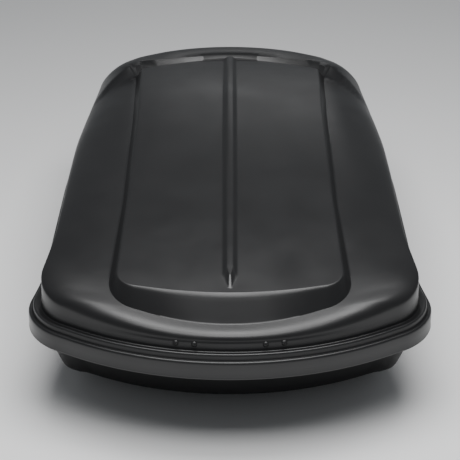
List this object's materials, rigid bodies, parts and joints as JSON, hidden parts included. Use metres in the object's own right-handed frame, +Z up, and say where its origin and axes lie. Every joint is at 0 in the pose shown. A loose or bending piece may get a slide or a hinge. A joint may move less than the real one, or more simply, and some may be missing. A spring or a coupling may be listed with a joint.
{
  "type": "roof cargo box",
  "caption": "Rear-opening roof cargo box: ribbed thermoformed lid hinged at the nose, tray base, key locks, lid stays and U-bolt crossbar clamps.",
  "frame": {"origin": "on the ground plane that the U-bolts stand on, under the middle of the box", "axes": "+X to the box's right seen from the nose looking aft along +Y, +Y from nose to tail, +Z up"},
  "size_m": [0.9622, 1.6005, 0.4804],
  "materials": {
    "lid_abs": "black fine-grained thermoformed sheet, satin",
    "base_abs": "black thermoformed sheet, matt",
    "seal_rubber": "black foam rubber",
    "zinc_steel": "zinc-plated steel",
    "black_steel": "black coated steel",
    "black_nylon": "black glass-filled nylon"
  },
  "bodies": {
    "base": {"base_shell": "base_abs", "rim_seal_nose": "seal_rubber", "rim_seal_tail": "seal_rubber", "rim_seal_left": "seal_rubber", "rim_seal_right": "seal_rubber", "hinge_base_leaf_left": "zinc_steel", "hinge_base_leaf_right": "zinc_steel", "hinge_pin_left": "zinc_steel", "hinge_pin_right": "zinc_steel", "lock_keeper_left": "zinc_steel", "lock_keeper_right": "zinc_steel", "stay_bracket_left": "black_nylon", "stay_bracket_right": "black_nylon", "stay_pivot_pin_left": "zinc_steel", "stay_pivot_pin_right": "zinc_steel", "floor_rail_left": "zinc_steel", "floor_rail_right": "zinc_steel", "base_rivet_left_a": "black_steel", "base_rivet_left_b": "black_steel", "base_rivet_right_a": "black_steel", "base_rivet_right_b": "black_steel", "u_bolt_front_left": "zinc_steel", "u_bolt_front_right": "zinc_steel", "u_bolt_rear_left": "zinc_steel", "u_bolt_rear_right": "zinc_steel", "clamp_plate_front_left": "black_steel", "clamp_plate_front_right": "black_steel", "clamp_plate_rear_left": "black_steel", "clamp_plate_rear_right": "black_steel"},
    "lid": {"lid_shell": "lid_abs", "rear_stiffener": "zinc_steel", "hinge_lid_leaf_left": "zinc_steel", "hinge_lid_leaf_right": "zinc_steel", "lock_housing_left": "black_steel", "lock_housing_right": "black_steel", "stay_track_left": "zinc_steel", "stay_track_right": "zinc_steel", "lid_rivet_left_a": "black_steel", "lid_rivet_left_b": "black_steel", "lid_rivet_right_a": "black_steel", "lid_rivet_right_b": "black_steel"},
    "lock_left": {"lock_barrel_left": "zinc_steel", "lock_cam_left": "zinc_steel"},
    "stay_left": {"stay_arm_left": "zinc_steel", "stay_slide_pin_left": "zinc_steel"},
    "lock_right": {"lock_barrel_right": "zinc_steel", "lock_cam_right": "zinc_steel"},
    "stay_right": {"stay_arm_right": "zinc_steel", "stay_slide_pin_right": "zinc_steel"},
    "knob_front_left_a": {"clamp_knob_front_left_a": "black_nylon"},
    "knob_front_left_b": {"clamp_knob_front_left_b": "black_nylon"},
    "knob_front_right_a": {"clamp_knob_front_right_a": "black_nylon"},
    "knob_front_right_b": {"clamp_knob_front_right_b": "black_nylon"},
    "knob_rear_left_a": {"clamp_knob_rear_left_a": "black_nylon"},
    "knob_rear_left_b": {"clamp_knob_rear_left_b": "black_nylon"},
    "knob_rear_right_a": {"clamp_knob_rear_right_a": "black_nylon"},
    "knob_rear_right_b": {"clamp_knob_rear_right_b": "black_nylon"}
  },
  "joints": [
    {"name": "lid_hinge", "type": "hinge", "parent": "base", "child": "lid", "pos_m": [0, -0.7768, 0.214], "axis": [1, 0, 0], "range_deg": [0, 40]},
    {"name": "stay_left_swing", "type": "hinge", "parent": "base", "child": "stay_left", "pos_m": [-0.392, -0.27802, 0.17912], "axis": [1, 0, 0], "range_deg": [0, 80.2]},
    {"name": "stay_right_swing", "type": "hinge", "parent": "base", "child": "stay_right", "pos_m": [0.392, -0.27802, 0.17912], "axis": [1, 0, 0], "range_deg": [0, 80.2]},
    {"name": "lock_left_turn", "type": "hinge", "parent": "lid", "child": "lock_left", "pos_m": [-0.2, 0.78293, 0.228], "axis": [-0.1695, 0.9855, 0], "range_deg": [-90, 0]},
    {"name": "lock_right_turn", "type": "hinge", "parent": "lid", "child": "lock_right", "pos_m": [0.2, 0.78293, 0.228], "axis": [0.1695, 0.9855, 0], "range_deg": [0, 90]},
    {"name": "knob_front_left_a_spin", "type": "hinge", "parent": "base", "child": "knob_front_left_a", "pos_m": [-0.3, -0.3925, 0.08], "axis": [0, 0, 1], "continuous": true},
    {"name": "knob_front_left_b_spin", "type": "hinge", "parent": "base", "child": "knob_front_left_b", "pos_m": [-0.3, -0.3075, 0.08], "axis": [0, 0, 1], "continuous": true},
    {"name": "knob_front_right_a_spin", "type": "hinge", "parent": "base", "child": "knob_front_right_a", "pos_m": [0.3, -0.3925, 0.08], "axis": [0, 0, 1], "continuous": true},
    {"name": "knob_front_right_b_spin", "type": "hinge", "parent": "base", "child": "knob_front_right_b", "pos_m": [0.3, -0.3075, 0.08], "axis": [0, 0, 1], "continuous": true},
    {"name": "knob_rear_left_a_spin", "type": "hinge", "parent": "base", "child": "knob_rear_left_a", "pos_m": [-0.3, 0.3075, 0.08], "axis": [0, 0, 1], "continuous": true},
    {"name": "knob_rear_left_b_spin", "type": "hinge", "parent": "base", "child": "knob_rear_left_b", "pos_m": [-0.3, 0.3925, 0.08], "axis": [0, 0, 1], "continuous": true},
    {"name": "knob_rear_right_a_spin", "type": "hinge", "parent": "base", "child": "knob_rear_right_a", "pos_m": [0.3, 0.3075, 0.08], "axis": [0, 0, 1], "continuous": true},
    {"name": "knob_rear_right_b_spin", "type": "hinge", "parent": "base", "child": "knob_rear_right_b", "pos_m": [0.3, 0.3925, 0.08], "axis": [0, 0, 1], "continuous": true}
  ],
  "couplings": [
    {"joint": "stay_left_swing", "follows": "lid_hinge", "ratio": 2},
    {"joint": "stay_right_swing", "follows": "lid_hinge", "ratio": 2}
  ]
}
